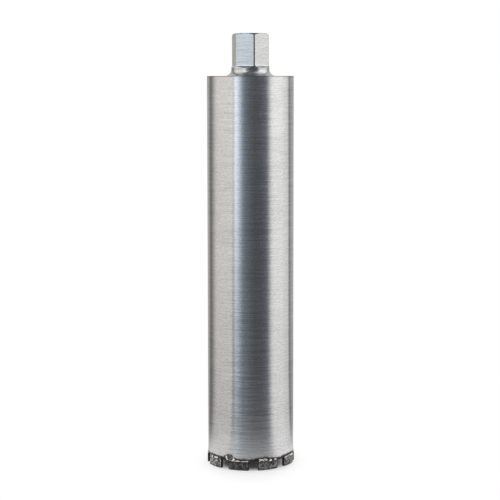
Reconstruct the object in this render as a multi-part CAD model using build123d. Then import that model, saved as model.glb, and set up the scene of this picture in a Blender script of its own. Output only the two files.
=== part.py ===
from build123d import *

import os
from math import cos, radians, tan

# Diamond core bit that stands on its crown. Millimetres, +Z up, origin on the floor at the centre of the crown.
# Angles round the bit start at the front, which is -Y, and grow towards +X.

# Barrel: a plain steel tube.
barrel_diameter = 106.0
barrel_wall = 2.0
barrel_length = 467.0
rim_edge_break = 0.4

# Crown: sintered segments brazed to the barrel's lower end.
segment_count = 9
segment_arc = 28.0
segment_height = 11.0
segment_proud_outside = 1.0
segment_proud_inside = 0.8
segment_corner_radius = 0.6
segment_edge_bevel = 0.8
crown_start_angle = 23.6

# Braze: a thin film under the barrel, with a fillet on the ledge of the segment inside and outside.
braze_film = 0.3
braze_setback = 0.1
braze_climb_outside = 1.1
braze_climb_inside = 0.7
braze_end_margin = 1.0

# Drive hub: bar with a round plate at its foot, turned in one piece, tapped right through.
plate_thickness = 8.0
hub_height = 51.4
foot_radius = 8.0
thread_major_diameter = 31.75
hub_wall_at_flats = 4.625
thread_entry_chamfer = 1.2
hub_land = 2.5
top_chamfer_angle = 30.0

# Spanner flats: milled on the bar, each with a sloped foot that runs out to the round neck over a small radius.
flat_length = 39.2
flat_foot_slope = 45.0
flat_foot_radius = 2.0
corner_trim = 0.45
flats_turn = 12.0

# Rim weld: fills the groove between the plate and the barrel's mouth and is turned off just under the rim.
weld_leg = 2.0
weld_dish = 0.2

barrel_radius = barrel_diameter / 2
bore_radius = barrel_radius - barrel_wall
barrel_foot = segment_height + braze_film
barrel_top = barrel_foot + barrel_length
mouth_chamfer = barrel_wall / 2

crown_radius = barrel_radius + segment_proud_outside
crown_bore_radius = bore_radius - segment_proud_inside
segment_pitch = 360.0 / segment_count

thread_radius = thread_major_diameter / 2
flat_distance = thread_radius + hub_wall_at_flats
bar_radius = flat_distance / cos(radians(30)) - corner_trim
land_radius = thread_radius + thread_entry_chamfer + hub_land
plate_underside = barrel_top - plate_thickness
hub_top = barrel_top + hub_height
flat_foot = hub_top - flat_length


def turned(outline, arc=360.0, middle_angle=0.0):
    """Revolve an outline of radii and heights about the bit's axis, centred on an angle from the front."""
    section = Plane.XZ * make_face(outline)
    start = middle_angle - 90.0 - arc / 2
    return Rot(0, 0, start) * revolve(section, axis=Axis.Z, revolution_arc=arc)


def straight_outline(*corners):
    return Polyline(*corners, close=True)


def make_barrel():
    return turned(
        straight_outline(
            (bore_radius, barrel_foot),
            (barrel_radius, barrel_foot),
            (barrel_radius, barrel_top - rim_edge_break),
            (barrel_radius - rim_edge_break, barrel_top),
            (bore_radius + mouth_chamfer, barrel_top),
            (bore_radius, barrel_top - mouth_chamfer),
        )
    )


def make_hub_blank():
    """The hub as it leaves the lathe: plate, concave foot, round bar, chamfered top and through bore."""
    top_chamfer_drop = (bar_radius - land_radius) * tan(radians(top_chamfer_angle))
    foot_start = (bar_radius + foot_radius, barrel_top)
    foot_end = (bar_radius, barrel_top + foot_radius)
    below_foot = Polyline(
        (thread_radius, plate_underside + thread_entry_chamfer),
        (thread_radius + thread_entry_chamfer, plate_underside),
        (bore_radius, plate_underside),
        (bore_radius, barrel_top - weld_leg),
        (bore_radius - weld_leg, barrel_top),
        foot_start,
    )
    foot = RadiusArc(foot_start, foot_end, foot_radius)
    above_foot = Polyline(
        foot_end,
        (bar_radius, hub_top - top_chamfer_drop),
        (land_radius, hub_top),
        (thread_radius + thread_entry_chamfer, hub_top),
        (thread_radius, hub_top - thread_entry_chamfer),
        (thread_radius, plate_underside + thread_entry_chamfer),
    )
    return turned(below_foot + foot + above_foot)


def make_flat_cutter():
    """What the mill takes off for one flat, with its foot sloped and rounded."""
    reach = 2 * (bar_radius - flat_distance)
    above_hub = hub_top + flat_length
    outline = straight_outline(
        (-flat_distance, above_hub),
        (-flat_distance, flat_foot),
        (-flat_distance - reach, flat_foot - reach * tan(radians(flat_foot_slope))),
        (-flat_distance - reach, above_hub),
    )
    cutter = extrude(Plane.YZ * make_face(outline), amount=bar_radius, both=True)
    foot_edge = cutter.edges().filter_by(Axis.X).sort_by_distance((0, -flat_distance, flat_foot))[0]
    return fillet(foot_edge, flat_foot_radius)


def make_drive_hub():
    cutter = make_flat_cutter()
    flats = [Rot(0, 0, flats_turn + 30.0 + 60.0 * turn) * cutter for turn in range(6)]
    return make_hub_blank() - flats


def make_rim_weld():
    outer = (bore_radius + mouth_chamfer, barrel_top)
    inner = (bore_radius - weld_leg, barrel_top)
    middle = ((outer[0] + inner[0]) / 2, barrel_top - weld_dish)
    sides = Polyline(inner, (bore_radius, barrel_top - weld_leg), (bore_radius, barrel_top - mouth_chamfer), outer)
    return turned(sides + ThreePointArc(outer, middle, inner))


def make_segment(middle_angle):
    block = turned(
        straight_outline(
            (crown_bore_radius, 0),
            (crown_radius, 0),
            (crown_radius, segment_height),
            (crown_bore_radius, segment_height),
        ),
        segment_arc,
        middle_angle,
    )
    face_below = block.faces().sort_by(Axis.Z)[0]
    block = chamfer(face_below.edges().filter_by(GeomType.LINE), segment_edge_bevel)
    return fillet(block.edges().filter_by(Axis.Z), segment_corner_radius)


def make_braze(middle_angle):
    inner_toe = crown_bore_radius + braze_setback
    outer_toe = crown_radius - braze_setback
    return turned(
        straight_outline(
            (inner_toe, segment_height),
            (outer_toe, segment_height),
            (barrel_radius, barrel_foot + braze_climb_outside),
            (barrel_radius, barrel_foot),
            (bore_radius, barrel_foot),
            (bore_radius, barrel_foot + braze_climb_inside),
        ),
        segment_arc - 2 * braze_end_margin,
        middle_angle,
    )


pieces = {
    "barrel_tube": make_barrel(),
    "drive_hub": make_drive_hub(),
    "rim_weld": make_rim_weld(),
}
for number in range(segment_count):
    middle_angle = crown_start_angle + number * segment_pitch
    pieces[f"segment_{number + 1}"] = make_segment(middle_angle)
    pieces[f"braze_joint_{number + 1}"] = make_braze(middle_angle)

os.makedirs("parts", exist_ok=True)
for node, piece in pieces.items():
    piece.label = node
    export_step(piece, f"parts/{node}.step")
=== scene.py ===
"""Diamond core bit: a ground steel barrel with a brazed crown and a drive hub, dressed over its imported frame.

Metres, +Z up, origin on the floor at the centre of the crown.
Angles round the bit are degrees from the front, which is -Y, and grow towards +X.
"""

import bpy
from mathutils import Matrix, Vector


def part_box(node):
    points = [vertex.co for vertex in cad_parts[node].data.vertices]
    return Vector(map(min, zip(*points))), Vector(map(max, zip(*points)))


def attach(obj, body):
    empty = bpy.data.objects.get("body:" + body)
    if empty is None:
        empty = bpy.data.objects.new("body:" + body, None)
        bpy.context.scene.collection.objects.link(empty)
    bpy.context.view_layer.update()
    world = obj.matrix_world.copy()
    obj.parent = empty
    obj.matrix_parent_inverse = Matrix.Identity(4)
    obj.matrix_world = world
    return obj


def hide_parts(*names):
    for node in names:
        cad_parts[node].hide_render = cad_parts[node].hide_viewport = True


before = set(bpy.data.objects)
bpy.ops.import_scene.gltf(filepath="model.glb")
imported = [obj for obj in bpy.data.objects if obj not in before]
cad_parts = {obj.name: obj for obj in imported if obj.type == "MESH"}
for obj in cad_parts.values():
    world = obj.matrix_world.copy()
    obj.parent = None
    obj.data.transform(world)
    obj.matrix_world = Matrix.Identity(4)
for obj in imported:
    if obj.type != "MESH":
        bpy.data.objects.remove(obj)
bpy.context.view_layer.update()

import math
import random
from functools import reduce

import bpy

bl_info = {
    "name": "Diamond Core Bit",
    "version": (1, 0, 0),
    "blender": (4, 5, 0),
    "location": "View3D > Sidebar > Core Bit",
    "description": "Models a diamond core bit and the studio that it stands in",
    "category": "Object",
}

MM = 0.001
WELD = 1e-6
BARREL_LOW, BARREL_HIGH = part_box("barrel_tube")
HUB_LOW, HUB_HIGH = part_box("drive_hub")
SEGMENT_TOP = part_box("segment_1")[1][2]
SEGMENT_COUNT = 9
SEGMENT_PITCH = 360.0 / SEGMENT_COUNT
FLAT_COUNT = 6
GRIT_SEED = 7
SPATTER_SEED = 11

# Steps round the bit, and the rows of points that the burnt crust is raised from.
TUBE_STEPS = 720
HUB_STEPS = 360
THREAD_STEPS = 72
BRAZE_STEPS = 60
STAGE_STEPS = 128
CRUST_ROWS = 21
CRUST_STEP = 0.5 * MM


def measure(name, description, default, **kind):
    return bpy.props.FloatProperty(name=name, description=description, default=default, **kind)


def length(name, description, default):
    return measure(name, description, default, unit="LENGTH", precision=5)


def angle(name, description, default):
    return measure(name, description, math.radians(default), subtype="ANGLE")


def share(name, description, default):
    return measure(name, description, default, min=0.0, max=1.0, subtype="FACTOR")


def colour(name, description, default):
    return bpy.props.FloatVectorProperty(
        name=name, description=description, default=default, subtype="COLOR", size=3, min=0.0, soft_max=1.0
    )


class BarrelSettings(bpy.types.PropertyGroup):
    """Sizes and colours of the core barrel."""

    radius: length("Radius", "Outer radius of the tube", BARREL_HIGH[0])
    wall: length("Wall", "Thickness of the tube's wall", 2.0 * MM)
    foot: length("Foot", "Height of the tube's lower edge above the floor", BARREL_LOW[2])
    top: length("Top", "Height of the rim above the floor", BARREL_HIGH[2])
    edge_break: length("Edge break", "Width of the broken outer edge at the rim", 0.4 * MM)
    mouth_chamfer: length("Mouth chamfer", "Width of the chamfer inside the rim", 1.0 * MM)
    burnt_height: length("Burnt height", "Mean upper border of the band that brazing blackened", 14.95 * MM)
    burnt_climb: length("Burnt climb", "How much higher that border stands over a segment", 0.3 * MM)
    burnt_start: angle("Burnt start", "Where that border stands highest, from the front", 23.6)
    crust_height: length("Crust height", "How far the burnt crust stands off the wall", 0.4 * MM)
    steel: colour("Steel", "Bare ground steel", (0.595, 0.595, 0.59))
    burnt: colour("Burnt", "Steel blackened by the brazing", (0.035, 0.032, 0.03))
    inside: colour("Inside", "Unground steel inside the tube", (0.2, 0.195, 0.19))


class HubSettings(bpy.types.PropertyGroup):
    """Sizes and colours of the drive hub and the weld that holds it."""

    top: length("Top", "Height of the hub's top face", HUB_HIGH[2])
    underside: length("Underside", "Height of the plate's lower face", HUB_LOW[2])
    thread_radius: length("Thread radius", "Major radius of the spindle thread", 15.875 * MM)
    thread_crest: length("Thread crest", "Minor radius of the spindle thread", 13.91 * MM)
    thread_pitch: length("Thread pitch", "Distance between two turns of the thread", 3.629 * MM)
    entry_chamfer: length("Entry chamfer", "Chamfer where the thread starts", 1.2 * MM)
    land: length("Land", "Width of the flat ring on top", 2.5 * MM)
    bar_radius: length("Bar radius", "Radius over the hexagon's trimmed corners", 23.22 * MM)
    flat_distance: length("Flat distance", "From the axis to each spanner flat", 20.5 * MM)
    flat_length: length("Flat length", "Length of the spanner flats", 39.2 * MM)
    flat_foot_slope: angle("Flat foot slope", "Slope where a flat runs out to the neck", 45.0)
    flat_foot_radius: length("Flat foot radius", "Radius between a flat and its sloped foot", 2.0 * MM)
    flats_turn: angle("Flats turn", "Turn of the hexagon from the front", 12.0)
    foot_radius: length("Foot radius", "Concave radius between the bar and the plate", 8.0 * MM)
    top_chamfer: angle("Top chamfer", "Slope of the chamfer round the top", 30.0)
    weld_leg: length("Weld leg", "Leg of the weld between the plate and the barrel", 2.0 * MM)
    weld_dish: length("Weld dish", "Depth of the weld's hollow face", 0.2 * MM)
    edge_width: length("Edge width", "Width of the deburred edges", 0.31 * MM)
    steel: colour("Steel", "Clean machined steel", (0.6, 0.6, 0.595))
    weld: colour("Weld", "Weld metal", (0.5, 0.5, 0.49))


class CrownSettings(bpy.types.PropertyGroup):
    """Sizes and colours of the segments and their braze."""

    inner_radius: length("Inner radius", "Radius of the segments' inner faces", 50.2 * MM)
    outer_radius: length("Outer radius", "Radius of the segments' outer faces", 54.0 * MM)
    height: length("Height", "Height of the segments", SEGMENT_TOP)
    arc: angle("Arc", "Angle that a segment covers", 28.0)
    start: angle("Start", "Middle of the first segment from the front", 23.6)
    end_bevel: length("End bevel", "Bevel at the lower ends of a segment", 0.8 * MM)
    roughness: length("Roughness", "Depth of the pressed metal's rough face", 0.3 * MM)
    grit_size: length("Grit size", "Size of a diamond crystal", 0.5 * MM)
    grit_count: bpy.props.IntProperty(
        name="Grit count", description="Crystals that show on a segment", default=80, min=0
    )
    metal: colour("Metal", "Sintered metal powder", (0.075, 0.075, 0.077))
    grit: colour("Grit", "Diamond crystals", (0.42, 0.41, 0.37))
    braze: colour("Braze", "Clean braze metal", (0.88, 0.825, 0.755))
    braze_burnt: colour("Burnt braze", "Braze and flux that burnt", (0.022, 0.02, 0.018))


class StudioSettings(bpy.types.PropertyGroup):
    """The camera, the floor and the light."""

    camera_place: bpy.props.FloatVectorProperty(
        name="Camera place", description="Where the camera stands", default=(-0.0004, -1.912, 0.4783),
        subtype="XYZ", unit="LENGTH",
    )
    camera_tilt: angle("Camera tilt", "How far the camera looks down", 6.37)
    camera_roll: angle("Camera roll", "How far the camera leans to its right", 0.07)
    lens: measure("Lens", "Focal length on a 36 mm sensor", 112.28, unit="CAMERA")
    wall_radius: measure("Wall radius", "Distance from the bit to the studio's wall", 2.4, unit="LENGTH")
    wall_height: measure("Wall height", "Height of the studio's ceiling", 2.8, unit="LENGTH")
    ambient: share("Ambient", "Plain light from all round on matt surfaces", 0.5)
    ceiling: share("Ceiling", "Tone of the middle of the ceiling that metal mirrors", 0.2)
    ceiling_sides: share("Ceiling sides", "Tone of that ceiling at its left and right", 0.85)


def deselect():
    bpy.ops.object.select_all(action="DESELECT")


def make_active(piece):
    deselect()
    piece.select_set(True)
    bpy.context.view_layer.objects.active = piece
    bpy.context.view_layer.update()


def settle(piece):
    """Keep the piece's place in its mesh, with its object at the origin."""
    make_active(piece)
    bpy.ops.object.transform_apply(location=True, rotation=True, scale=True)


def start_edit(select_by="VERT", action="SELECT"):
    bpy.ops.object.mode_set(mode="EDIT")
    bpy.ops.mesh.select_mode(type=select_by)
    bpy.ops.mesh.select_all(action=action)


def end_edit():
    bpy.ops.object.mode_set(mode="OBJECT")


def merge_doubles(distance=WELD):
    bpy.ops.mesh.select_all(action="SELECT")
    bpy.ops.mesh.remove_doubles(threshold=distance)


def close_shell(open_ends):
    """Weld the seams, close open ends, point the faces outwards and leave edit mode."""
    merge_doubles()
    if open_ends:
        bpy.ops.mesh.fill_holes(sides=0)
        bpy.ops.mesh.select_all(action="SELECT")
    bpy.ops.mesh.normals_make_consistent(inside=False)
    end_edit()


def apply_modifier(piece, kind, **values):
    """Add a modifier with these values and apply it."""
    make_active(piece)
    modifier = piece.modifiers.new(kind.lower(), kind)
    for name, value in values.items():
        setattr(modifier, name, value)
    bpy.ops.object.modifier_apply(modifier=modifier.name)


def cut(piece, cutter):
    """Take the cutter's shape off the piece, and the cutter away."""
    apply_modifier(piece, "BOOLEAN", object=cutter, operation="DIFFERENCE", solver="EXACT")
    bpy.data.objects.remove(cutter)


def pick_edges(piece, wanted):
    """Go into edit mode with just the wanted edges selected."""
    make_active(piece)
    start_edit("EDGE", "DESELECT")
    end_edit()
    points = piece.data.vertices
    for edge in piece.data.edges:
        first, second = (points[index].co for index in edge.vertices)
        edge.select = wanted(first, second)
    bpy.ops.object.mode_set(mode="EDIT")


def draw_outline(name, outline):
    """Draw a closed line through radii and heights, and stay in edit mode."""
    deselect()
    bpy.ops.mesh.primitive_plane_add(size=MM, location=(outline[0][0], 0, outline[0][1]))
    piece = bpy.context.object
    piece.name = name
    bpy.context.view_layer.update()
    start_edit()
    bpy.ops.mesh.merge(type="CENTER")
    bpy.ops.mesh.select_all(action="SELECT")
    for (radius, height), (next_radius, next_height) in zip(outline, outline[1:] + outline[:1]):
        step = (next_radius - radius, 0, next_height - height)
        bpy.ops.mesh.extrude_vertices_move(TRANSFORM_OT_translate={"value": step})
    merge_doubles()
    return piece


def turn(name, outline, steps, arc=360.0, middle=0.0):
    """Spin a closed outline of radii and heights about the bit's axis, as on a lathe."""
    piece = draw_outline(name, outline)
    bpy.ops.mesh.select_all(action="SELECT")
    bpy.ops.mesh.spin(steps=steps, angle=math.radians(arc), center=(0, 0, 0), axis=(0, 0, 1))
    close_shell(arc < 360.0)
    settle(piece)
    piece.rotation_euler[2] = math.radians(middle - 90.0 + arc / 2)
    settle(piece)
    return piece


def copy_of(piece, name):
    twin = piece.copy()
    twin.data = piece.data.copy()
    twin.name = name
    bpy.context.collection.objects.link(twin)
    return twin


def join(pieces, name):
    deselect()
    for piece in pieces:
        piece.select_set(True)
    bpy.context.view_layer.objects.active = pieces[0]
    bpy.context.view_layer.update()
    bpy.ops.object.join()
    joined = bpy.context.object
    joined.name = name
    settle(joined)
    return joined


def smooth(piece, limit=30.0):
    make_active(piece)
    bpy.ops.object.shade_smooth_by_angle(angle=math.radians(limit))


def roughen(piece, size, height, group="", middle=0.5):
    """Push the surface in and out by a cloudy pattern of this size."""
    texture = bpy.data.textures.new(f"{piece.name}_clouds", type="CLOUDS")
    texture.noise_scale = size
    apply_modifier(
        piece, "DISPLACE", texture=texture, texture_coords="LOCAL", strength=height, mid_level=middle,
        vertex_group=group,
    )


def finish_piece(piece, material, slot_name, *nodes):
    """Give the piece its finish, let it ride and let it stand for its CAD nodes."""
    if not piece.data.materials:
        piece.data.materials.append(material)
    if nodes:
        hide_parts(*nodes)
    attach(piece, "root")


def radius_of(point):
    return math.hypot(point.x, point.y)


def degrees_of(point):
    return math.degrees(math.atan2(point.x, -point.y))


def point_at(radius, around, height):
    a = math.radians(around)
    return (radius * math.sin(a), -radius * math.cos(a), height)


def smoothstep(low, high, value):
    t = min(max((value - low) / (high - low), 0.0), 1.0)
    return t * t * (3.0 - 2.0 * t)


def keep_between(piece, inner, outer, foot=None, top=math.inf):
    """Press back what stands past two radii, past the foot's height at its angle, and past the top."""
    for point in piece.data.vertices:
        radius = radius_of(point.co)
        fit = min(max(radius, inner), outer) / radius
        low = foot(degrees_of(point.co)) if foot else -math.inf
        point.co.x *= fit
        point.co.y *= fit
        point.co.z = min(max(point.co.z, low), top)


def group_points(piece, name, weight):
    """Make a vertex group from a function that gives each point's weight."""
    group = piece.vertex_groups.new(name=name)
    for point in piece.data.vertices:
        group.add([point.index], weight(point.co), "REPLACE")


def shade(paint, factor):
    return tuple(channel * factor for channel in paint)


def in_metres(*rows):
    """Rows of an angle and lengths in millimetres, with the lengths in metres."""
    return [(around, *(value * MM for value in lengths)) for around, *lengths in rows]


# Where the burnt band's border rises or sinks: rise, where it comes in, where it goes out.
BURN_WAVES = (
    (-0.9 * MM, (-22.0, -15.0), (-3.0, 3.0)),
    (1.3 * MM, (3.0, 8.0), (20.0, 30.0)),
    (0.9 * MM, (44.0, 50.0), (90.0, 110.0)),
)
# Burnt flux that ran up the wall beside two segments: around, height, reach.
BURN_SPOTS = in_metres((-31.5, 15.0, 4.3), (-26.5, 16.8, 2.3), (-36.6, 14.6, 2.6), (-22.0, 13.4, 2.2))
# The range that noise is mostly in, which an effect stretches to all of 0 to 1.
NOISE_RANGE = (0.25, 0.75)


class Nodes:
    """Adds nodes to a tree and links them to what they read."""

    def __init__(self, tree):
        self.tree = tree

    def add(self, kind, inputs=None, **values):
        """Add a node, set its values, and set or link its inputs."""
        made = self.tree.nodes.new(kind)
        for name, value in values.items():
            setattr(made, name, value)
        for socket, value in (inputs or {}).items():
            self.feed(made.inputs[socket], value)
        return made

    def feed(self, socket, value):
        if isinstance(value, bpy.types.NodeSocket):
            self.tree.links.new(value, socket)
        else:
            socket.default_value = value

    def calculate(self, operation, first, second=0.0):
        return self.add("ShaderNodeMath", {0: first, 1: second}, operation=operation).outputs[0]

    def plus(self, first, second):
        return self.calculate("ADD", first, second)

    def less(self, first, second):
        return self.calculate("SUBTRACT", first, second)

    def times(self, first, second):
        return self.calculate("MULTIPLY", first, second)

    def most(self, first, second):
        return self.calculate("MAXIMUM", first, second)

    def weigh(self, *pairs):
        """The sum of some values, each times its weight."""
        return reduce(self.plus, [self.times(value, weight) for value, weight in pairs])

    def remap(self, value, low, high, to_low=0.0, to_high=1.0):
        """Turn the range low to high into to_low to to_high, with soft ends."""
        inputs = {"Value": value, "From Min": low, "From Max": high, "To Min": to_low, "To Max": to_high}
        return self.add("ShaderNodeMapRange", inputs, interpolation_type="SMOOTHSTEP").outputs["Result"]

    def fade(self, value, low, high):
        """1 up to low, and 0 from high on."""
        return self.remap(value, low, high, 1.0, 0.0)

    def ease(self, mask, low, high):
        """Low where the mask is 0, and high where it is 1."""
        return self.remap(mask, 0.0, 1.0, low, high)

    def within(self, value, comes_in, goes_out):
        """1 between two ranges, in which it comes in and goes out."""
        return self.times(self.remap(value, *comes_in), self.fade(value, *goes_out))

    def blend(self, factor, first, second):
        """A colour between two, which are colours or sockets."""
        inputs = {0: factor}
        for socket, paint in ((6, first), (7, second)):
            inputs[socket] = paint if isinstance(paint, bpy.types.NodeSocket) else (*paint[:3], 1.0)
        return self.add("ShaderNodeMix", inputs, data_type="RGBA").outputs[2]

    def tones(self, factor, paint, low, high):
        """A colour between a low and a high shade of one paint."""
        return self.blend(factor, shade(paint, low), shade(paint, high))

    def noise(self, place, scale, detail):
        inputs = {"Vector": place, "Scale": scale, "Detail": detail}
        return self.add("ShaderNodeTexNoise", inputs).outputs["Fac"]

    def stretch(self, scale):
        return self.add("ShaderNodeMapping", {"Vector": self.place, "Scale": scale}).outputs[0]

    def distance(self, place, point=(0.0, 0.0, 0.0)):
        return self.add("ShaderNodeVectorMath", {0: place, 1: point}, operation="DISTANCE").outputs["Value"]

    def split(self):
        return self.add("ShaderNodeSeparateXYZ", {0: self.place}).outputs

    def around(self):
        """Degrees round the bit from the front."""
        parts = self.split()
        turned = self.calculate("ARCTAN2", parts["X"], self.times(parts["Y"], -1.0))
        return self.times(turned, 180.0 / math.pi)

    def seen(self):
        """1 for the camera and for steel that mirrors, 0 for matt surfaces."""
        ray = self.add("ShaderNodeLightPath").outputs
        return self.most(self.most(ray["Is Camera Ray"], ray["Is Glossy Ray"]), ray["Is Transmission Ray"])


class Effect(Nodes):
    """A shared node group with number inputs beside its place, and number outputs."""

    def __init__(self, name, inputs, outputs):
        super().__init__(bpy.data.node_groups.new(name, "ShaderNodeTree"))
        sockets = self.tree.interface
        sockets.new_socket("Place", in_out="INPUT", socket_type="NodeSocketVector")
        for socket, default in inputs.items():
            sockets.new_socket(socket, in_out="INPUT", socket_type="NodeSocketFloat").default_value = default
        for socket in outputs:
            sockets.new_socket(socket, in_out="OUTPUT", socket_type="NodeSocketFloat")
        self.given = self.add("NodeGroupInput").outputs
        self.place = self.given["Place"]
        self.leave = self.add("NodeGroupOutput").inputs

    def spread_noise(self, place, scale, detail):
        return self.remap(self.noise(place, scale, detail), *NOISE_RANGE)


class Finish(Nodes):
    """A material with its own Principled shader, whose constant values stand on the shader's sockets."""

    def __init__(self, name, **constants):
        self.material = bpy.data.materials.new(name)
        self.material.use_nodes = True
        super().__init__(self.material.node_tree)
        self.shader = self.find_shader()
        self.place = self.add("ShaderNodeTexCoord").outputs["Object"]
        self.wear(**constants)

    def find_shader(self):
        return next(made for made in self.tree.nodes if made.type == "BSDF_PRINCIPLED")

    def wear(self, **sockets):
        """Set or link the shader's sockets, and hand over the material."""
        for name, value in sockets.items():
            self.feed(self.shader.inputs[name.replace("_", " ")], value)
        return self.material

    def effect(self, name, **values):
        """Place a shared effect with its own values."""
        inputs = {"Place": self.place, **values}
        return self.add("ShaderNodeGroup", inputs, node_tree=bpy.data.node_groups[name]).outputs

    def bump(self, relief, strength, depth):
        inputs = {"Height": relief, "Strength": strength, "Distance": depth}
        return self.add("ShaderNodeBump", inputs).outputs[0]


class Glow(Finish):
    """A material that only emits light, with its output at hand."""

    def find_shader(self):
        self.tree.nodes.clear()
        emission = self.add("ShaderNodeEmission")
        self.output = self.add("ShaderNodeOutputMaterial", {"Surface": emission.outputs[0]})
        return emission


def make_ground_lines():
    """Lines that a belt or a lathe tool leaves round the bit, coarse and fine, and slow changes of tone."""
    inputs = {"Coarse": 1000.0, "Fine": 1150.0, "Along": 26.0}
    effect = Effect("ground_lines", inputs, ("Coarse lines", "Fine lines", "Patches"))
    for kind, shortening, detail in (("Coarse", 1.0, 1.0), ("Fine", 11.0, 2.0)):
        along = effect.times(effect.given["Along"], shortening)
        scales = effect.add("ShaderNodeCombineXYZ", {0: along, 1: along, 2: effect.given[kind]})
        inputs = {0: effect.place, 1: scales.outputs[0]}
        drawn_out = effect.add("ShaderNodeVectorMath", inputs, operation="MULTIPLY").outputs[0]
        effect.feed(effect.leave[f"{kind} lines"], effect.spread_noise(drawn_out, 1.0, detail))
    patches = effect.stretch((16.0, 16.0, 60.0))
    effect.feed(effect.leave["Patches"], effect.spread_noise(patches, 1.0, 3.0))


def make_speckle():
    """Fine mottling and pits, as on milled, pressed or melted metal."""
    effect = Effect("speckle", {"Scale": 900.0}, ("Mottle", "Pits"))
    scale = effect.given["Scale"]
    effect.feed(effect.leave["Mottle"], effect.spread_noise(effect.place, scale, 4.0))
    cells = effect.add("ShaderNodeTexVoronoi", {"Vector": effect.place, "Scale": scale})
    effect.feed(effect.leave["Pits"], effect.remap(cells.outputs["Distance"], 0.05, 0.6))


def make_burn():
    """1 where brazing blackened the surface, up to a ragged border that climbs over the segments."""
    inputs = {"Height": 14.8 * MM, "Wander": 3.3 * MM, "Climb": 0.7 * MM, "Start": 0.0}
    effect = Effect("burn", inputs, ("Burnt", "Deep", "Tint"))
    given, degrees = effect.given, effect.around()
    around = effect.less(effect.times(degrees, math.pi / 180.0), given["Start"])
    climb = effect.times(effect.calculate("COSINE", effect.times(around, SEGMENT_COUNT)), given["Climb"])
    for rise, comes_in, goes_out in BURN_WAVES:
        climb = effect.plus(climb, effect.times(effect.within(degrees, comes_in, goes_out), rise))
    slow = effect.noise(effect.stretch((1.0, 1.0, 0.45)), 140.0, 4.0)
    quick = effect.noise(effect.place, 600.0, 3.0)
    wander = effect.times(effect.less(effect.plus(slow, quick), 1.0), given["Wander"])
    border = effect.plus(effect.plus(given["Height"], climb), wander)
    above = effect.less(effect.split()["Z"], border)
    for output, low, high in (("Burnt", -0.25, 0.25), ("Deep", -1.9, -1.0), ("Tint", 0.0, 2.2)):
        effect.feed(effect.leave[output], effect.fade(above, low * MM, high * MM))


def near_spot(finish, spot, reach, wander):
    """1 within reach of a spot on the wall, with a ragged border."""
    raggedness = 2.4 * MM
    away = finish.plus(finish.distance(finish.place, spot), finish.times(wander, raggedness))
    return finish.fade(away, reach + 0.7 * MM, reach + 1.5 * MM)


def barrel_steel(sizes):
    finish = Finish("brushed_barrel_steel", Metallic=1.0, Specular_IOR_Level=0.2)
    finish.wear(Anisotropic=1.0, Anisotropic_Rotation=0.25)
    lines = finish.effect("ground_lines")
    coarse, fine = lines["Coarse lines"], lines["Fine lines"]
    tone = finish.weigh((coarse, 0.4), (fine, 0.46), (lines["Patches"], 0.14))
    bare = finish.tones(tone, sizes.steel, 0.73, 1.27)
    # Painted shade: a darker band along the top of the wall, just under the rim's broken edge.
    rim_shade_heights = (sizes.top - 4.0 * sizes.edge_break, sizes.top - 2.0 * sizes.edge_break)
    rim_painted_shade = finish.remap(finish.split()["Z"], *rim_shade_heights, 0.0, 0.6)
    bare = finish.blend(rim_painted_shade, bare, shade(sizes.steel, 0.3))
    burn = finish.effect("burn", Height=sizes.burnt_height, Climb=sizes.burnt_climb, Start=sizes.burnt_start)
    mottle = finish.effect("speckle", Scale=1100.0)["Mottle"]
    black = burn["Burnt"]
    for around, height, reach in BURN_SPOTS:
        spot = point_at(sizes.radius, around, height)
        black = finish.most(black, near_spot(finish, spot, reach, mottle))
    temper_tint = (0.36, 0.3, 0.22)
    tinted = finish.blend(finish.times(burn["Tint"], 0.35), bare, temper_tint)
    grey, deep = finish.tones(mottle, sizes.burnt, 1.2, 4.2), finish.tones(mottle, sizes.burnt, 0.2, 1.2)
    polish = finish.plus(0.185, finish.times(coarse, 0.06))
    relief = finish.weigh((fine, 0.25), (mottle, black))
    return finish.wear(
        Base_Color=finish.blend(black, tinted, finish.blend(burn["Deep"], grey, deep)),
        Roughness=finish.plus(polish, finish.times(black, 0.4)),
        Metallic=finish.less(1.0, finish.times(black, 0.9)),
        Tangent=finish.add("ShaderNodeTangent", direction_type="RADIAL", axis="Z").outputs[0],
        Normal=finish.bump(relief, 0.12, 0.1 * MM),
    )


def inside_steel(sizes):
    finish = Finish("unground_steel", Metallic=0.85)
    lines = finish.effect("ground_lines", Coarse=120.0, Along=60.0)
    burnt = finish.effect("burn", Height=20.0 * MM)["Burnt"]
    bare = finish.tones(lines["Patches"], sizes.inside, 0.7, 1.3)
    rough = finish.ease(lines["Coarse lines"], 0.42, 0.6)
    return finish.wear(Base_Color=finish.blend(burnt, bare, sizes.burnt), Roughness=rough)


def hub_steel(sizes):
    finish = Finish("machined_hub_steel", Metallic=1.0)
    mottle = finish.effect("speckle", Scale=800.0)["Mottle"]
    lines = finish.effect("ground_lines", Coarse=900.0, Fine=3000.0, Along=40.0)["Coarse lines"]
    return finish.wear(
        Base_Color=finish.tones(finish.weigh((mottle, 0.7), (lines, 0.3)), sizes.steel, 0.72, 1.28),
        Roughness=finish.ease(mottle, 0.13, 0.22),
        Normal=finish.bump(finish.plus(mottle, lines), 0.25, 0.05 * MM),
    )


def weld_metal(sizes):
    finish = Finish("weld_steel", Metallic=1.0)
    grain = finish.effect("speckle", Scale=1500.0)
    patches = finish.effect("ground_lines", Along=80.0)["Patches"]
    bare = finish.tones(grain["Mottle"], sizes.weld, 0.75, 1.2)
    temper_tint = (0.3, 0.24, 0.17)
    return finish.wear(
        Base_Color=finish.blend(finish.times(patches, 0.5), bare, temper_tint),
        Roughness=finish.ease(grain["Pits"], 0.28, 0.45),
    )


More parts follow.
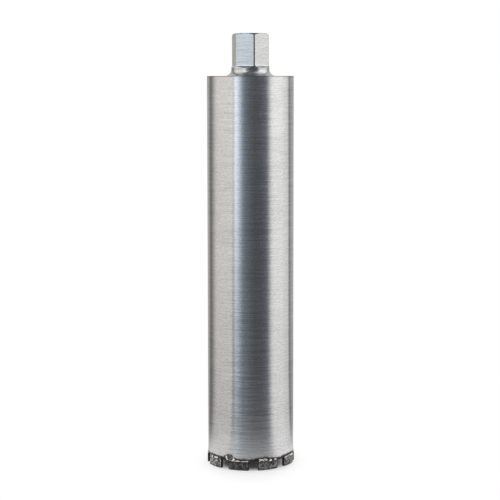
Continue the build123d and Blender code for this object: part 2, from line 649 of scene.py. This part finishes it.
def segment_metal(sizes, name, brightness, braze_shade):
    """Pressed metal powder, light where the hole's wall rubs it, with painted shade on its ends and under the
    braze, and darker towards its foot.
    """
    finish = Finish(name, Specular_IOR_Level=0.3)
    grain = finish.effect("speckle", Scale=760.0)
    broad = finish.effect("speckle", Scale=310.0)["Mottle"]
    tone = finish.remap(finish.weigh((grain["Mottle"], 0.45), (broad, 0.55)), 0.36, 0.7)
    powder = finish.tones(tone, shade(sizes.metal, brightness), 0.15, 3.2)
    flecks = finish.times(finish.fade(grain["Pits"], 0.0, 0.4), finish.remap(broad, 0.5, 0.65))
    powder = finish.blend(flecks, powder, shade(sizes.grit, brightness))
    radius = finish.distance(finish.stretch((1.0, 1.0, 0.0)))
    height = finish.split()["Z"]
    off_middle = finish.less(finish.around(), math.degrees(sizes.start))
    off_middle = finish.calculate("PINGPONG", off_middle, 0.5 * SEGMENT_PITCH)
    half_arc = 0.5 * math.degrees(sizes.arc)
    outside = finish.remap(radius, sizes.outer_radius - 0.8 * MM, sizes.outer_radius - 0.3 * MM)
    inside = finish.fade(radius, sizes.inner_radius + 0.5 * MM, sizes.inner_radius + 1.1 * MM)
    off_foot = finish.remap(height, 0.0, 0.35 * sizes.height, 0.35, 1.0)
    # Painted shade under the braze fillet: the top few millimetres darken by the segment's given share.
    clean = finish.remap(height, sizes.height - 3.0 * MM, sizes.height - 1.8 * MM, 1.0, 1.0 - braze_shade)
    # Painted shade: the end faces that face the gaps go nearly black, as shade between the segments.
    away_from_shaded_ends = finish.fade(off_middle, half_arc - 0.9, half_arc - 0.4)
    # Powder where the hole's wall rubs the outer and inner faces. Elsewhere a much darker tone, which is
    # painted shade on the ends and under the braze, and darker towards the foot.
    wear_and_shade = reduce(finish.times, (finish.most(outside, inside), off_foot, clean, away_from_shaded_ends))
    return finish.wear(
        Base_Color=finish.blend(wear_and_shade, shade(sizes.metal, 0.15), powder),
        Metallic=finish.remap(broad, 0.3, 1.0, 0.0, 0.5),
        Roughness=finish.ease(grain["Mottle"], 0.65, 0.4),
        Normal=finish.bump(grain["Mottle"], 0.6, 0.15 * MM),
    )


def diamond_grit(sizes):
    finish = Finish("diamond_grit", IOR=2.2, Coat_Weight=0.4)
    mottle = finish.effect("speckle", Scale=700.0)["Mottle"]
    tone = finish.tones(mottle, sizes.grit, 0.5, 1.6)
    return finish.wear(Base_Color=tone, Roughness=finish.ease(mottle, 0.3, 0.1))


def braze_metal(sizes, name, burnt_share, clean_height, shine=0.2):
    """Pale braze whose burnt share is black and matt, as is all of it above the clean height."""
    finish = Finish(name, Specular_IOR_Level=0.4)
    grain = finish.effect("speckle", Scale=850.0)
    broad = finish.effect("speckle", Scale=270.0)["Mottle"]
    mixed = finish.weigh((grain["Mottle"], 0.35), (broad, 0.65))
    height = finish.less(finish.split()["Z"], finish.times(mixed, MM))
    burnt = finish.most(
        finish.fade(mixed, burnt_share - 0.06, burnt_share + 0.06),
        finish.remap(height, clean_height - 0.2 * MM, clean_height + 0.3 * MM),
    )
    pale = finish.tones(grain["Pits"], sizes.braze, 0.95, 1.13)
    return finish.wear(
        Base_Color=finish.blend(burnt, pale, sizes.braze_burnt),
        Roughness=finish.ease(burnt, 0.26, 0.6),
        Metallic=finish.ease(burnt, shine, 0.0),
        Normal=finish.bump(grain["Mottle"], 0.4, 0.1 * MM),
    )


class CORE_BIT_OT_finishes(bpy.types.Operator):
    """Make the shared effects that the finishes use"""

    bl_idname = "core_bit.make_finishes"
    bl_label = "Make Finishes"

    def execute(self, context):
        make_ground_lines()
        make_speckle()
        make_burn()
        return {"FINISHED"}


class CORE_BIT_OT_barrel(bpy.types.Operator):
    """Turn the core barrel, with a burnt crust along its foot"""

    bl_idname = "core_bit.make_barrel"
    bl_label = "Make Barrel"

    def execute(self, context):
        sizes = context.scene.core_bit_barrel
        outer, inner = sizes.radius, sizes.radius - sizes.wall
        foot, top, broken, mouth = sizes.foot, sizes.top, sizes.edge_break, sizes.mouth_chamfer
        foot_break = 0.2 * MM
        crust_rows = [(outer, foot + row * CRUST_STEP) for row in range(1, CRUST_ROWS + 1)]
        rim_and_inside = [
            (outer, top - broken),
            (outer - 0.3 * broken, top - 0.3 * broken),
            (outer - broken, top),
            (inner + mouth, top),
            (inner, top - mouth),
            (inner, foot + foot_break),
            (inner + foot_break, foot),
            (outer - foot_break, foot),
        ]
        barrel = turn("barrel", crust_rows + rim_and_inside, TUBE_STEPS)
        group_points(barrel, "crust", lambda point: self.crust_share(sizes, point))
        roughen(barrel, 1.3 * MM, sizes.crust_height, group="crust", middle=0.3)
        roughen(barrel, 0.6 * MM, 0.5 * sizes.crust_height, group="crust", middle=0.4)
        smooth(barrel)
        barrel.data.materials.append(barrel_steel(sizes))
        barrel.data.materials.append(inside_steel(sizes))
        for face in barrel.data.polygons:
            outward = face.center.x * face.normal.x + face.center.y * face.normal.y
            if outward < 0.0 and face.center.z < top - mouth:
                face.material_index = 1
        finish_piece(barrel, None, "brushed_barrel_steel", "barrel_tube")
        return {"FINISHED"}

    def crust_share(self, sizes, point):
        """How much of the crust's height there is at a point of the barrel."""
        margin = 0.1 * MM
        last_row = sizes.foot + CRUST_ROWS * CRUST_STEP
        if radius_of(point) < sizes.radius - margin or point.z > last_row - margin:
            return 0.0
        degrees = degrees_of(point)
        border = math.cos(SEGMENT_COUNT * (math.radians(degrees) - sizes.burnt_start)) * sizes.burnt_climb
        border += sizes.burnt_height
        for rise, comes_in, goes_out in BURN_WAVES:
            border += rise * smoothstep(*comes_in, degrees) * (1.0 - smoothstep(*goes_out, degrees))
        present = 1.0 - smoothstep(border - 1.2 * MM, border + 0.3 * MM, point.z)
        for around, height, reach in BURN_SPOTS:
            away = math.dist(point, point_at(sizes.radius, around, height))
            present = max(present, 1.4 * (1.0 - smoothstep(0.4 * reach, reach, away)))
        return min(present, 1.0)


class CORE_BIT_OT_hub(bpy.types.Operator):
    """Turn the drive hub, mill its six flats and deburr its edges"""

    bl_idname = "core_bit.make_hub"
    bl_label = "Make Drive Hub"

    def execute(self, context):
        sizes, barrel = context.scene.core_bit_hub, context.scene.core_bit_barrel
        bore, plate_top = barrel.radius - barrel.wall, barrel.top
        entry, thread = sizes.entry_chamfer, sizes.thread_radius
        bar, curve = sizes.bar_radius, sizes.foot_radius
        land = thread + entry + sizes.land
        drop = (bar - land) * math.tan(sizes.top_chamfer)
        foot = []
        for degrees in range(90, -1, -6):
            a = math.radians(degrees)
            foot.append((bar + curve * (1.0 - math.cos(a)), plate_top + curve * (1.0 - math.sin(a))))
        outline = [
            (thread, sizes.underside + entry),
            (thread + entry, sizes.underside),
            (bore, sizes.underside),
            (bore, plate_top - sizes.weld_leg),
            (bore - sizes.weld_leg, plate_top),
            *foot,
            (bar, sizes.top - drop),
            (land, sizes.top),
            (thread + entry, sizes.top),
            (thread, sizes.top - entry),
        ]
        hub = turn("hub", outline, HUB_STEPS)
        step = 360.0 / FLAT_COUNT
        first_flat = math.degrees(sizes.flats_turn) + step / 2
        for number in range(FLAT_COUNT):
            cut(hub, self.flat_cutter(sizes, first_flat + number * step))
        make_active(hub)
        start_edit()
        merge_doubles(0.02 * MM)
        end_edit()
        apply_modifier(
            hub, "BEVEL", width=sizes.edge_width, segments=2, limit_method="ANGLE",
            angle_limit=math.radians(22), use_clamp_overlap=False,
        )
        smooth(hub, 24.0)
        apply_modifier(hub, "WEIGHTED_NORMAL", keep_sharp=True)
        finish_piece(hub, hub_steel(sizes), "machined_hub_steel", "drive_hub")
        return {"FINISHED"}

    def flat_cutter(self, sizes, around):
        """What the mill takes off for one flat, with its foot sloped and rounded."""
        face = -sizes.flat_distance
        reach = 2.0 * (sizes.bar_radius - sizes.flat_distance)
        wide, tall = 2.4 * sizes.bar_radius, 2.0 * sizes.flat_length
        low, slope = sizes.top - sizes.flat_length, sizes.flat_foot_slope
        deselect()
        bpy.ops.mesh.primitive_cube_add(size=1.0, location=(0, face - reach / 2, low + tall / 2))
        cutter = bpy.context.object
        cutter.scale = (wide, reach, tall)
        settle(cutter)
        pick_edges(cutter, lambda a, b: max(a.z, b.z) < low + MM and max(a.y, b.y) < face - MM)
        bpy.ops.transform.translate(value=(0, 0, -reach * math.tan(slope)))
        end_edit()
        pick_edges(cutter, lambda a, b: max(a.z, b.z) < low + MM and min(a.y, b.y) > face - MM)
        bpy.ops.mesh.bevel(offset=sizes.flat_foot_radius * math.tan(slope / 2), segments=8)
        end_edit()
        cutter.rotation_euler[2] = math.radians(around)
        settle(cutter)
        return cutter


class CORE_BIT_OT_thread(bpy.types.Operator):
    """Cut the spindle thread that runs right through the hub"""

    bl_idname = "core_bit.make_thread"
    bl_label = "Make Spindle Thread"

    def execute(self, context):
        sizes = context.scene.core_bit_hub
        sunk_in_hub, flank = 0.15 * MM, math.radians(30)
        pitch, root, crest = sizes.thread_pitch, sizes.thread_radius + sunk_in_hub, sizes.thread_crest
        half_crest = pitch / 8.0
        half_root = half_crest + (root - crest) * math.tan(flank)
        start = sizes.underside - pitch
        ridge = ((root, -half_root), (crest, -half_crest), (crest, half_crest), (root, half_root))
        thread = draw_outline("spindle_thread", [(radius, start + height) for radius, height in ridge])
        end_edit()
        settle(thread)
        turns = math.ceil((sizes.top - sizes.underside) / pitch) + 2
        apply_modifier(
            thread, "SCREW", axis="Z", angle=2.0 * math.pi, screw_offset=pitch, iterations=turns,
            steps=THREAD_STEPS, render_steps=THREAD_STEPS, use_merge_vertices=False,
        )
        bpy.ops.object.mode_set(mode="EDIT")
        close_shell(open_ends=True)
        axis, wide = 0.2 * MM, sizes.thread_radius + sizes.entry_chamfer - 0.02 * MM
        wider, narrow = wide + MM, crest - 0.6 * MM
        for end, inward in ((sizes.top, -1.0), (sizes.underside, 1.0)):
            tip, far, step = end + inward * (wide - narrow), end - inward * 3.0 * pitch, end - inward * MM
            cone = [(axis, far), (wider, far), (wider, step), (wide, end), (narrow, tip), (axis, tip)]
            cut(thread, turn("entry_cutter", cone, THREAD_STEPS))
        smooth(thread)
        finish_piece(thread, bpy.data.materials["machined_hub_steel"], "machined_hub_steel")
        return {"FINISHED"}


class CORE_BIT_OT_weld(bpy.types.Operator):
    """Lay the ring of weld metal between the hub's plate and the rim"""

    bl_idname = "core_bit.make_weld"
    bl_label = "Make Rim Weld"

    def execute(self, context):
        sizes, barrel = context.scene.core_bit_hub, context.scene.core_bit_barrel
        bore, top = barrel.radius - barrel.wall, barrel.top
        outer, inner = bore + barrel.mouth_chamfer, bore - sizes.weld_leg
        outline = [(bore, top - sizes.weld_leg), (bore, top - barrel.mouth_chamfer)]
        for tenth in range(11):
            along = tenth / 10
            sag = 4.0 * along * (1.0 - along) * sizes.weld_dish
            outline.append((outer + (inner - outer) * along, top - sag))
        weld = turn("weld_ring", outline, TUBE_STEPS)
        plain_edge = 0.5 * MM

        def in_face(point):
            between = inner + plain_edge < radius_of(point) < outer - plain_edge
            return 1.0 if between and point.z > top - 2.0 * sizes.weld_dish else 0.0

        group_points(weld, "face", in_face)
        roughen(weld, 1.1 * MM, 0.16 * MM, group="face", middle=0.6)
        smooth(weld, 50.0)
        finish_piece(weld, weld_metal(sizes), "weld_steel", "rim_weld")
        return {"FINISHED"}


# How bright a segment's metal is, and how much painted shade darkens its top under the braze.
SEGMENT_LOOKS = {1: (1.05, 0.5), 2: (1.2, 0.0), 8: (1.95, 0.0), 9: (0.48, 0.65)}
USUAL_SEGMENT = (1.0, 0.3)
# How many millimetres a worn foot is off the floor at its left and right end.
WORN_FEET = {1: (0.3, 1.2), 2: (1.4, 1.4)}


def segment_middle(sizes, number):
    around = math.degrees(sizes.start) + (number - 1) * SEGMENT_PITCH
    return (around + 180.0) % 360.0 - 180.0


def worn_foot(sizes, number, around):
    """Height of a segment's foot at an angle round the bit."""
    left, right = WORN_FEET.get(number, (0.0, 0.0))
    along = (around - segment_middle(sizes, number)) / math.degrees(sizes.arc) + 0.5
    return (left + (right - left) * along) * MM


class CORE_BIT_OT_segments(bpy.types.Operator):
    """Press the nine sintered segments, each with its own rough face"""

    bl_idname = "core_bit.make_segments"
    bl_label = "Make Segments"

    def execute(self, context):
        sizes = context.scene.core_bit_crown
        block = self.mould_block(sizes)
        metals = {}
        for number in range(1, SEGMENT_COUNT + 1):
            segment = copy_of(block, f"crown_segment_{number}")
            segment.rotation_euler[2] = math.radians(segment_middle(sizes, number))
            settle(segment)
            roughen(segment, 3.5 * MM, 0.8 * sizes.roughness, middle=0.62)
            roughen(segment, 0.9 * MM, sizes.roughness, middle=0.6)
            roughen(segment, 0.45 * MM, 0.5 * sizes.roughness, middle=0.6)
            keep_between(
                segment, sizes.inner_radius, sizes.outer_radius,
                foot=lambda around: worn_foot(sizes, number, around), top=sizes.height,
            )
            smooth(segment, 60.0)
            look = SEGMENT_LOOKS.get(number, USUAL_SEGMENT)
            if look not in metals:
                metals[look] = segment_metal(sizes, f"sintered_segment_{len(metals) + 1}", *look)
            finish_piece(segment, metals[look], "sintered_segment", f"segment_{number}")
        bpy.data.objects.remove(block)
        return {"FINISHED"}

    def mould_block(self, sizes):
        """A plain segment at the front, a skin smaller than the mould, with bevelled lower ends."""
        arc, skin = math.degrees(sizes.arc), 0.12 * MM
        inner, outer = sizes.inner_radius + skin, sizes.outer_radius - skin
        high = sizes.height - 0.02 * MM
        block = turn("segment", [(inner, skin), (outer, skin), (outer, high), (inner, high)], round(arc), arc)

        def at_low_end(point):
            return abs(abs(degrees_of(point)) - arc / 2) < 0.2 and point.z < skin + WELD

        pick_edges(block, lambda a, b: at_low_end(a) and at_low_end(b) and a.x * b.x > 0)
        bpy.ops.mesh.bevel(offset=sizes.end_bevel, segments=1)
        end_edit()
        apply_modifier(block, "REMESH", mode="VOXEL", voxel_size=0.3 * MM)
        return block


class CORE_BIT_OT_grit(bpy.types.Operator):
    """Set diamond crystals in the segments' faces"""

    bl_idname = "core_bit.make_grit"
    bl_label = "Make Grit"

    def execute(self, context):
        sizes = context.scene.core_bit_crown
        chance = random.Random(GRIT_SEED)
        deselect()
        bpy.ops.mesh.primitive_cube_add(size=1.0)
        crystal = bpy.context.object
        start_edit()
        bpy.ops.mesh.bevel(offset=0.42, segments=1, affect="VERTICES")
        end_edit()
        material = diamond_grit(sizes)
        for number in range(1, SEGMENT_COUNT + 1):
            stones = []
            for _ in range(sizes.grit_count):
                size = sizes.grit_size * chance.uniform(0.6, 1.0)
                stone = copy_of(crystal, "stone")
                stone.scale = (size, size, size)
                stone.rotation_euler = [chance.uniform(0.0, math.tau) for _ in range(3)]
                stone.location = self.seat(sizes, number, size, chance)
                stones.append(stone)
            finish_piece(join(stones, f"diamond_grit_{number}"), material, "sintered_segment")
        bpy.data.objects.remove(crystal)
        return {"FINISHED"}

    def seat(self, sizes, number, size, chance):
        """A place in the outer, lower or inner face, sunk so that only the tip shows."""
        half = math.degrees(sizes.arc) / 2 - 1.2
        around = segment_middle(sizes, number) + chance.uniform(-half, half)
        foot = worn_foot(sizes, number, around)
        height = chance.uniform(foot + MM, sizes.height - 1.4 * MM)
        sunk = 0.74 * size
        margin = 0.6 * MM
        outer_share, outer_and_lower_share = 0.55, 0.8
        face = chance.random()
        if face < outer_share:
            return point_at(sizes.outer_radius - sunk, around, height)
        if face < outer_and_lower_share:
            radius = chance.uniform(sizes.inner_radius + margin, sizes.outer_radius - margin)
            return point_at(radius, around, foot + sunk)
        return point_at(sizes.inner_radius + sunk, around, height)


# Each joint's braze: its burnt share, how many mm up it stays clean, and how steeply it climbs the wall.
BRAZE_LOOKS = {1: (0.53, 13.4, 2.0), 2: (0.5, 13.0, 1.9), 8: (0.48, 13.0, 1.5), 9: (0.36, 11.1, 1.0)}
USUAL_BRAZE = (0.5, 12.0, 1.2)


class CORE_BIT_OT_braze(bpy.types.Operator):
    """Run braze under the barrel, with an uneven fillet on each segment's ledge"""

    bl_idname = "core_bit.make_braze"
    bl_label = "Make Braze Joints"

    def execute(self, context):
        sizes, barrel = context.scene.core_bit_crown, context.scene.core_bit_barrel
        outer, inner = barrel.radius, barrel.radius - barrel.wall
        ledge = sizes.height - 0.05 * MM
        margin, arc = 0.02 * MM, math.degrees(sizes.arc) - 2.0
        finishes = {}
        for number in range(1, SEGMENT_COUNT + 1):
            look = BRAZE_LOOKS.get(number, USUAL_BRAZE)
            burnt, clean_height, climb = look
            outline = [
                (sizes.inner_radius + 0.15 * MM, ledge),
                (sizes.outer_radius - 0.2 * MM, ledge),
                (sizes.outer_radius - 0.28 * MM, ledge + 0.35 * climb * MM),
                (outer + 0.4 * MM, ledge + 0.75 * climb * MM),
                (outer + 0.12 * MM, ledge + 1.15 * climb * MM),
                (outer - 0.1 * MM, ledge + 1.35 * climb * MM),
                (inner + 0.1 * MM, ledge + 1.0 * MM),
                (inner - 0.3 * MM, ledge + 0.6 * MM),
            ]
            joint = turn(f"braze_{number}", outline, BRAZE_STEPS, arc, segment_middle(sizes, number))
            apply_modifier(joint, "REMESH", mode="VOXEL", voxel_size=0.25 * MM)
            roughen(joint, 2.2 * MM, 0.5 * MM, middle=0.55)
            roughen(joint, 0.8 * MM, 0.3 * MM, middle=0.55)
            keep_between(joint, sizes.inner_radius + margin, sizes.outer_radius - margin)
            smooth(joint, 60.0)
            if look not in finishes:
                name = f"silver_braze_{len(finishes) + 1}"
                finishes[look] = braze_metal(sizes, name, burnt, clean_height * MM)
            finish_piece(joint, finishes[look], "silver_braze", f"braze_joint_{number}")
        return {"FINISHED"}


# Braze and burnt flux on the wall: around, height, half width, half height, lift off the wall.
TRICKLE = in_metres(
    (-34.2, 15.9, 1.15, 1.0, 0.55),
    (-34.2, 14.8, 1.2, 1.2, 0.65),
    (-33.9, 13.5, 1.05, 1.0, 0.65),
    (-32.8, 12.4, 0.95, 0.8, 0.65),
    (-31.5, 11.9, 0.8, 0.6, 0.6),
)
SPILLS = in_metres(
    (-23.6, 13.9, 1.0, 0.7, 0.45),
    (-22.6, 13.2, 1.0, 0.7, 0.5),
    (-25.6, 12.7, 1.2, 0.8, 0.5),
    (-28.3, 12.9, 1.1, 0.7, 0.5),
    (-24.0, 12.3, 2.4, 0.7, 0.6),
    (12.0, 13.6, 1.2, 0.9, 0.45),
    (15.0, 13.2, 1.6, 0.9, 0.5),
    (19.5, 13.8, 2.0, 0.6, 0.45),
)
BEADS = in_metres((-44.1, 18.1, 0.5, 0.4, 0.25), (-44.1, 15.3, 0.6, 0.45, 0.25), (-26.9, 17.6, 0.9, 0.8, 0.5))
SMALL_BEADS = 60
# Above all braze that ran up the wall, so that none of it is burnt for its height.
OVER_ALL = 20.0 * MM


class CORE_BIT_OT_spill(bpy.types.Operator):
    """Let a trickle of braze run up the wall, and spatter the foot with burnt flux"""

    bl_idname = "core_bit.make_spill"
    bl_label = "Make Spill And Spatter"

    def execute(self, context):
        sizes, barrel = context.scene.core_bit_crown, context.scene.core_bit_barrel
        for name, drops, burnt, shine in (
            ("braze_trickle", TRICKLE, 0.0, 0.85),
            ("braze_spill", SPILLS, 0.4, 0.2),
        ):
            spill = join([self.drop(barrel.radius, *place) for place in drops], name)
            apply_modifier(spill, "REMESH", mode="VOXEL", voxel_size=0.14 * MM)
            roughen(spill, 0.9 * MM, 0.2 * MM)
            smooth(spill, 60.0)
            finish_piece(spill, braze_metal(sizes, name, burnt, OVER_ALL, shine), "silver_braze")
        chance = random.Random(SPATTER_SEED)
        beads = [self.drop(barrel.radius, *place) for place in BEADS]
        for _ in range(SMALL_BEADS):
            size = chance.uniform(0.2, 0.5) * MM
            around = chance.uniform(-180.0, 180.0)
            height = barrel.burnt_height + abs(chance.gauss(0.0, 1.2)) * MM
            half_height, lift = size * chance.uniform(0.7, 1.0), 0.4 * size
            beads.append(self.drop(barrel.radius, around, height, size, half_height, lift))
        spatter = join(beads, "flux_spatter")
        smooth(spatter, 60.0)
        finish_piece(spatter, braze_metal(sizes, "burnt_flux", 0.9, 11.4 * MM), "silver_braze")
        return {"FINISHED"}

    def drop(self, radius, around, height, half_width, half_height, lift):
        """A flattened drop half sunk in the wall."""
        deselect()
        bpy.ops.mesh.primitive_uv_sphere_add(segments=12, ring_count=7, radius=1.0)
        made = bpy.context.object
        start_edit()
        bpy.ops.transform.resize(value=(half_width, lift, half_height))
        end_edit()
        made.rotation_euler[2] = math.radians(around)
        made.location = point_at(radius, around, height)
        return made


# What stands round the bit: colour, tone of the floor before it as a share of its own,
# then the angles where it comes in and where it goes out.
SURROUNDINGS = (
    ((0.23, 0.223, 0.215), 0.8, (-200.0, -190.0), (-110.0, -100.0)),  # left gap
    ((0.54, 0.535, 0.52), 0.8, (-200.0, -190.0), (-148.0, -132.0)),  # left board
    ((0.19, 0.225, 0.265), 0.9, (-50.0, -40.0), (-20.0, 0.0)),  # dim wall
    ((0.1, 0.108, 0.12), 1.0, (-11.0, 13.0), (27.0, 48.0)),  # dark corner
    ((0.955, 0.92, 0.892), 0.64, (-132.0, -98.0), (-52.5, -44.5)),  # left softbox
    ((0.76, 0.83, 0.9), 0.4, (-50.0, -39.5), (-46.0, -18.0)),  # window
    ((0.29, 0.29, 0.3), 0.8, (40.0, 56.0), (190.0, 200.0)),  # right gap
    ((1.0, 1.0, 1.0), 0.8, (44.0, 62.0), (116.0, 127.0)),  # right softbox
    ((1.17, 1.17, 1.17), 0.78, (52.0, 72.0), (88.0, 112.0)),  # its middle
    ((0.53, 0.53, 0.525), 0.8, (127.0, 138.0), (190.0, 200.0)),  # right board
)
ROOM_TONE = (0.15, 0.17, 0.195)
# Soft lamps: name, around, degrees above level, distance, size, watts.
LAMPS = (
    ("left_lamp", -70.0, 30.0, 1.9, 1.2, 9.0),
    ("right_lamp", 75.0, 25.0, 1.9, 1.2, 10.5),
    ("front_lamp", -10.0, 55.0, 2.0, 1.4, 3.5),
    ("back_lamp", 180.0, 40.0, 2.0, 1.4, 7.0),
)
LAMP_AIM = 0.2


def disc(name, radius, height):
    deselect()
    bpy.ops.mesh.primitive_circle_add(
        vertices=STAGE_STEPS, radius=radius, fill_type="NGON", location=(0, 0, height)
    )
    bpy.context.object.name = name
    return bpy.context.object


class CORE_BIT_OT_studio(bpy.types.Operator):
    """Set up the camera, the white floor, the surroundings that the steel mirrors, and the lamps"""

    bl_idname = "core_bit.make_studio"
    bl_label = "Make Studio"

    def execute(self, context):
        sizes = context.scene.core_bit_studio
        self.make_camera(context, sizes)
        self.make_world(context, sizes)
        self.make_floor()
        wall, ceiling, board = self.make_wall(sizes), self.make_ceiling(sizes), self.make_far_floor(sizes)
        for thing in (wall, ceiling, board):
            self.show_only_in_mirrors(thing)
        self.make_lamps(context)
        context.scene.view_settings.view_transform = "Standard"
        return {"FINISHED"}

    def make_camera(self, context, sizes):
        lens = bpy.data.cameras.new("camera")
        lens.lens = sizes.lens
        lens.sensor_width = 36.0
        lens.clip_end = 50.0
        camera = bpy.data.objects.new("camera", lens)
        camera.location = sizes.camera_place
        camera.rotation_euler = (math.pi / 2 - sizes.camera_tilt, sizes.camera_roll, 0.0)
        context.collection.objects.link(camera)
        context.scene.camera = camera

    def make_world(self, context, sizes):
        """White to the camera and the steel, and dimmer to matt surfaces."""
        world = bpy.data.worlds.new("white_studio")
        context.scene.world = world
        world.use_nodes = True
        world.node_tree.nodes.clear()
        nodes = Nodes(world.node_tree)
        white = (1.0, 1.0, 1.0, 1.0)
        dim, full = (
            nodes.add("ShaderNodeBackground", {"Color": white, "Strength": strength}).outputs[0]
            for strength in (sizes.ambient, 1.0)
        )
        mixed = nodes.add("ShaderNodeMixShader", {0: nodes.seen(), 1: dim, 2: full})
        nodes.add("ShaderNodeOutputWorld", {"Surface": mixed.outputs[0]})

    def make_floor(self):
        """White as the camera and the steel see it, with the bit's own shadow left on it."""
        floor = disc("floor", 6.0, -0.05 * MM)
        glow = Glow("white_floor")
        seen = glow.seen()
        under_bit, shadow_ends, shadow_glow = (0.034, 0.055), (0.048, 0.127), 0.28
        lit = glow.times(seen, glow.remap(glow.distance(glow.place), *under_bit, 0.1, 1.0))
        glow.wear(Strength=glow.times(lit, shadow_glow))
        matt = glow.add("ShaderNodeBsdfDiffuse", {"Color": (0.8, 0.8, 0.8, 1.0)})
        shaded = glow.add("ShaderNodeAddShader", {0: glow.shader.outputs[0], 1: matt.outputs[0]})
        white = glow.add("ShaderNodeEmission", {"Strength": glow.ease(seen, 0.75, 1.0)})
        away = glow.remap(glow.distance(glow.stretch((1.7, 1.0, 1.0))), *shadow_ends)
        both = glow.add("ShaderNodeMixShader", {0: away, 1: shaded.outputs[0], 2: white.outputs[0]})
        glow.feed(glow.output.inputs["Surface"], both.outputs[0])
        floor.data.materials.append(glow.material)

    def surrounding_tone(self, glow, on_floor=False):
        """The colour of what stands in each direction round the bit, or of the floor before it."""
        around, tone = glow.around(), ROOM_TONE
        for paint, floor_share, comes_in, goes_out in SURROUNDINGS:
            present = glow.within(around, comes_in, goes_out)
            tone = glow.blend(present, tone, shade(paint, floor_share) if on_floor else paint)
        return tone

    def make_wall(self, sizes):
        deselect()
        bpy.ops.mesh.primitive_cylinder_add(
            vertices=STAGE_STEPS, radius=sizes.wall_radius, depth=sizes.wall_height, end_fill_type="NOTHING",
            location=(0, 0, sizes.wall_height / 2 - MM),
        )
        wall = bpy.context.object
        wall.name = "surroundings"
        settle(wall)
        glow = Glow("surroundings")
        height = glow.split()["Z"]
        window = glow.within(glow.around(), (-54.0, -44.0), (-28.0, -10.0))
        at_hub = glow.plus(0.905, glow.times(window, 0.82))
        strength = glow.plus(1.0, glow.times(glow.remap(height, 0.42, 0.52), glow.less(at_hub, 1.0)))
        strength = glow.times(strength, glow.remap(height, 0.7, 1.2, 1.0, 1.35))
        wall.data.materials.append(glow.wear(Color=self.surrounding_tone(glow), Strength=strength))
        return wall

    def make_ceiling(self, sizes):
        ceiling = disc("ceiling", sizes.wall_radius, sizes.wall_height - 2.0 * MM)
        glow = Glow("ceiling", Color=(0.93, 1.0, 1.07, 1.0))
        parts = glow.split()
        aside = glow.calculate("ABSOLUTE", parts["X"])
        sides = glow.remap(aside, 0.7, 1.5, sizes.ceiling, sizes.ceiling_sides)
        behind = glow.remap(parts["Y"], 0.6, 1.6, 1.0, 0.45)
        ceiling.data.materials.append(glow.wear(Strength=glow.times(sides, behind)))
        return ceiling

    def make_far_floor(self, sizes):
        """The floor as metal mirrors it: white near the bit, and farther out toned by what stands over it."""
        low, high = 1.5 * MM, 1.6 * MM
        near, far = 0.06, sizes.wall_radius - 0.02
        board = turn("far_floor", [(near, low), (far, low), (far, high), (near, high)], STAGE_STEPS)
        glow = Glow("far_floor")
        distance = glow.distance(glow.place)
        wall_tone, floor_tone = self.surrounding_tone(glow), self.surrounding_tone(glow, on_floor=True)
        tone = glow.blend(glow.remap(distance, 0.3, 2.2), floor_tone, wall_tone)
        near_tone = glow.blend(0.5, (1.12, 1.13, 1.15), wall_tone)
        tone = glow.blend(glow.remap(distance, 0.1, 0.25), near_tone, tone)
        board.data.materials.append(glow.wear(Color=tone))
        return board

    def show_only_in_mirrors(self, thing):
        """Metal mirrors the thing, and nothing else sees it."""
        thing.visible_camera = False
        thing.visible_diffuse = False
        thing.visible_transmission = False
        thing.visible_volume_scatter = False
        thing.visible_shadow = False

    def make_lamps(self, context):
        """Soft lamps that light the matt surfaces at a plain level, and that metal doesn't mirror."""
        for name, around, rise, away, size, power in LAMPS:
            light = bpy.data.lights.new(name, "AREA")
            light.size = size
            light.energy = power
            lamp = bpy.data.objects.new(name, light)
            slope = math.radians(rise)
            lamp.location = point_at(away * math.cos(slope), around, LAMP_AIM + away * math.sin(slope))
            lamp.rotation_euler = (math.radians(90.0 - rise), 0.0, math.radians(around))
            lamp.visible_glossy = False
            context.collection.objects.link(lamp)


class CORE_BIT_PT_panel(bpy.types.Panel):
    """Lists the bit's sizes, colours and pieces"""

    bl_idname = "CORE_BIT_PT_panel"
    bl_label = "Diamond Core Bit"
    bl_space_type = "VIEW_3D"
    bl_region_type = "UI"
    bl_category = "Core Bit"

    def draw(self, context):
        for group, kind in SETTINGS.items():
            box = self.layout.box()
            box.label(text=group.removeprefix("core_bit_").title())
            for name in kind.__annotations__:
                box.prop(getattr(context.scene, group), name)
        for operator in OPERATORS:
            self.layout.operator(operator.bl_idname)


SETTINGS = {
    "core_bit_barrel": BarrelSettings,
    "core_bit_hub": HubSettings,
    "core_bit_crown": CrownSettings,
    "core_bit_studio": StudioSettings,
}
OPERATORS = (
    CORE_BIT_OT_finishes,
    CORE_BIT_OT_barrel,
    CORE_BIT_OT_hub,
    CORE_BIT_OT_thread,
    CORE_BIT_OT_weld,
    CORE_BIT_OT_segments,
    CORE_BIT_OT_grit,
    CORE_BIT_OT_braze,
    CORE_BIT_OT_spill,
    CORE_BIT_OT_studio,
)


def register():
    for kind in (*SETTINGS.values(), *OPERATORS, CORE_BIT_PT_panel):
        bpy.utils.register_class(kind)
    for name, kind in SETTINGS.items():
        setattr(bpy.types.Scene, name, bpy.props.PointerProperty(type=kind))


def unregister():
    for name in SETTINGS:
        delattr(bpy.types.Scene, name)
    for kind in reversed((*SETTINGS.values(), *OPERATORS, CORE_BIT_PT_panel)):
        bpy.utils.unregister_class(kind)


def main():
    register()
    bpy.ops.core_bit.make_finishes()
    bpy.ops.core_bit.make_barrel()
    bpy.ops.core_bit.make_hub()
    bpy.ops.core_bit.make_thread()
    bpy.ops.core_bit.make_weld()
    bpy.ops.core_bit.make_segments()
    bpy.ops.core_bit.make_grit()
    bpy.ops.core_bit.make_braze()
    bpy.ops.core_bit.make_spill()
    bpy.ops.core_bit.make_studio()
    bpy.context.view_layer.update()


if __name__ == "__main__":
    main()
